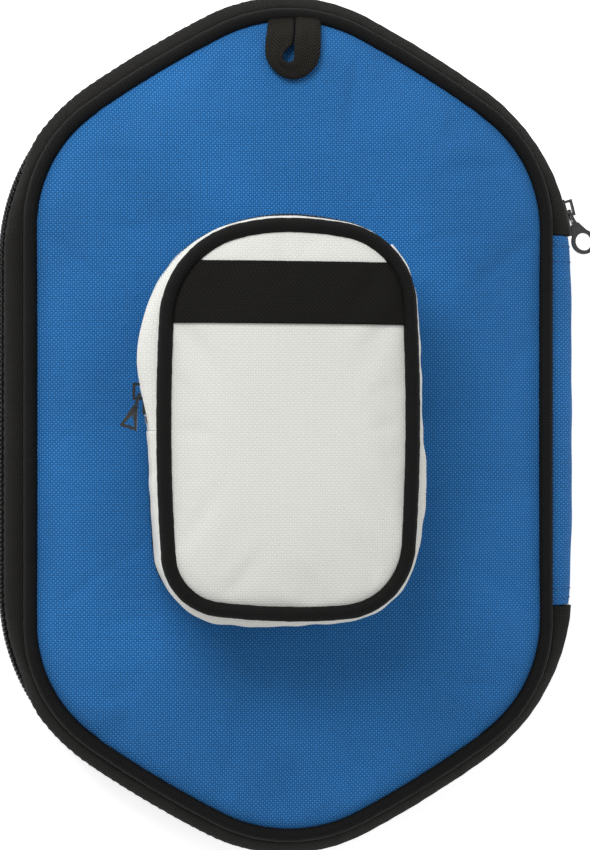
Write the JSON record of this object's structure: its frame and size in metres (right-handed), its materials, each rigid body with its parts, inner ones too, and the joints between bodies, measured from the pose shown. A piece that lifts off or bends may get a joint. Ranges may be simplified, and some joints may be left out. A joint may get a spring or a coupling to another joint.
{
  "type": "table tennis paddle case",
  "caption": "Padded clamshell case for a table-tennis bat: waisted shoulders, piped edges, full zip, fabric spine, hanging loop and a raised zipped ball pocket.",
  "frame": {"origin": "centre of the back panel's flat resting face", "axes": "+X to the right seen from the front, +Y towards the hanging loop, +Z out of the front panel; the case lies on its back"},
  "size_m": [0.2122, 0.3, 0.0888],
  "materials": {
    "blue_fabric": "plain-weave polyester, matt",
    "black_fabric": "woven black binding fabric, matt",
    "white_fabric": "plain-weave polyester, matt",
    "zip_tape": "fine woven zip tape",
    "zip_coil": "moulded nylon monofilament, satin",
    "webbing": "herringbone webbing",
    "foam": "closed-cell foam sheet",
    "lining": "thin brushed lining",
    "cord_core": "extruded piping core",
    "enamel": "black enamelled zinc, satin",
    "steel": "dull steel clip"
  },
  "bodies": {
    "rear_half": {"back_panel_fabric": "blue_fabric", "back_foam_pad": "foam", "back_lining": "lining", "rear_seam_binding": "black_fabric", "rear_piping_cover": "black_fabric", "rear_piping_cord": "cord_core", "rear_gusset": "black_fabric", "rear_zip_tape": "zip_tape", "rear_zip_coil": "zip_coil", "spine_rear_strip": "blue_fabric", "rear_zip_stop": "steel"},
    "front_half": {"front_panel_fabric": "blue_fabric", "front_foam_pad": "foam", "front_lining": "lining", "front_seam_binding": "black_fabric", "front_piping_cover": "black_fabric", "front_piping_cord": "cord_core", "front_gusset": "black_fabric", "front_zip_tape": "zip_tape", "front_zip_coil": "zip_coil", "spine_front_strip": "blue_fabric", "front_zip_stop": "steel", "pocket_base_fabric": "black_fabric", "pocket_base_binding": "black_fabric", "pocket_rear_side_strip": "white_fabric", "pocket_closed_side": "white_fabric", "pocket_rear_zip_tape": "zip_tape", "pocket_rear_zip_coil": "zip_coil", "pocket_zip_stop": "steel"},
    "main_slider": {"main_slider_body": "enamel", "main_slider_bail": "enamel"},
    "main_puller": {"main_puller": "enamel"},
    "hanging_loop": {"hanging_loop": "webbing"},
    "pocket_front": {"pocket_front_fabric": "white_fabric", "pocket_front_foam": "foam", "pocket_front_lining": "lining", "pocket_label_band": "black_fabric", "pocket_piping_cover": "black_fabric", "pocket_piping_cord": "cord_core", "pocket_front_side_strip": "white_fabric", "pocket_front_zip_tape": "zip_tape", "pocket_front_zip_coil": "zip_coil"},
    "pocket_slider": {"pocket_slider_body": "enamel", "pocket_slider_bail": "enamel"},
    "pocket_puller": {"pocket_puller": "enamel"}
  },
  "joints": [
    {"name": "case_open", "type": "hinge", "parent": "rear_half", "child": "front_half", "pos_m": [0.1016, 0, 0.02], "axis": [0, 1, 0], "range_deg": [0, 180]},
    {"name": "main_zip_travel", "type": "hinge", "parent": "rear_half", "child": "main_slider", "pos_m": [0.0275, 0.05789, 0.02], "axis": [0, 0, 1], "range_deg": [0, 37]},
    {"name": "main_puller_swing", "type": "hinge", "parent": "main_slider", "child": "main_puller", "pos_m": [0.10114, 0.07606, 0.02], "axis": [0, 0, 1], "range_deg": [-4, 90]},
    {"name": "loop_flip", "type": "hinge", "parent": "front_half", "child": "hanging_loop", "pos_m": [0, 0.1406, 0.0404], "axis": [-1, 0, 0], "range_deg": [0, 125]},
    {"name": "pocket_open", "type": "hinge", "parent": "front_half", "child": "pocket_front", "pos_m": [-0.0057, -0.0627, 0.0859], "axis": [1, 0, 0], "range_deg": [0, 20]},
    {"name": "pocket_zip_travel", "type": "hinge", "parent": "front_half", "child": "pocket_slider", "pos_m": [0.5503, 0.00189, 0.0729], "axis": [0, 0, -1], "range_deg": [0, 2.8]},
    {"name": "pocket_puller_swing", "type": "hinge", "parent": "pocket_slider", "child": "pocket_puller", "pos_m": [-0.05459, 0.01018, 0.0729], "axis": [0, 0, -1], "range_deg": [-4, 90]}
  ]
}
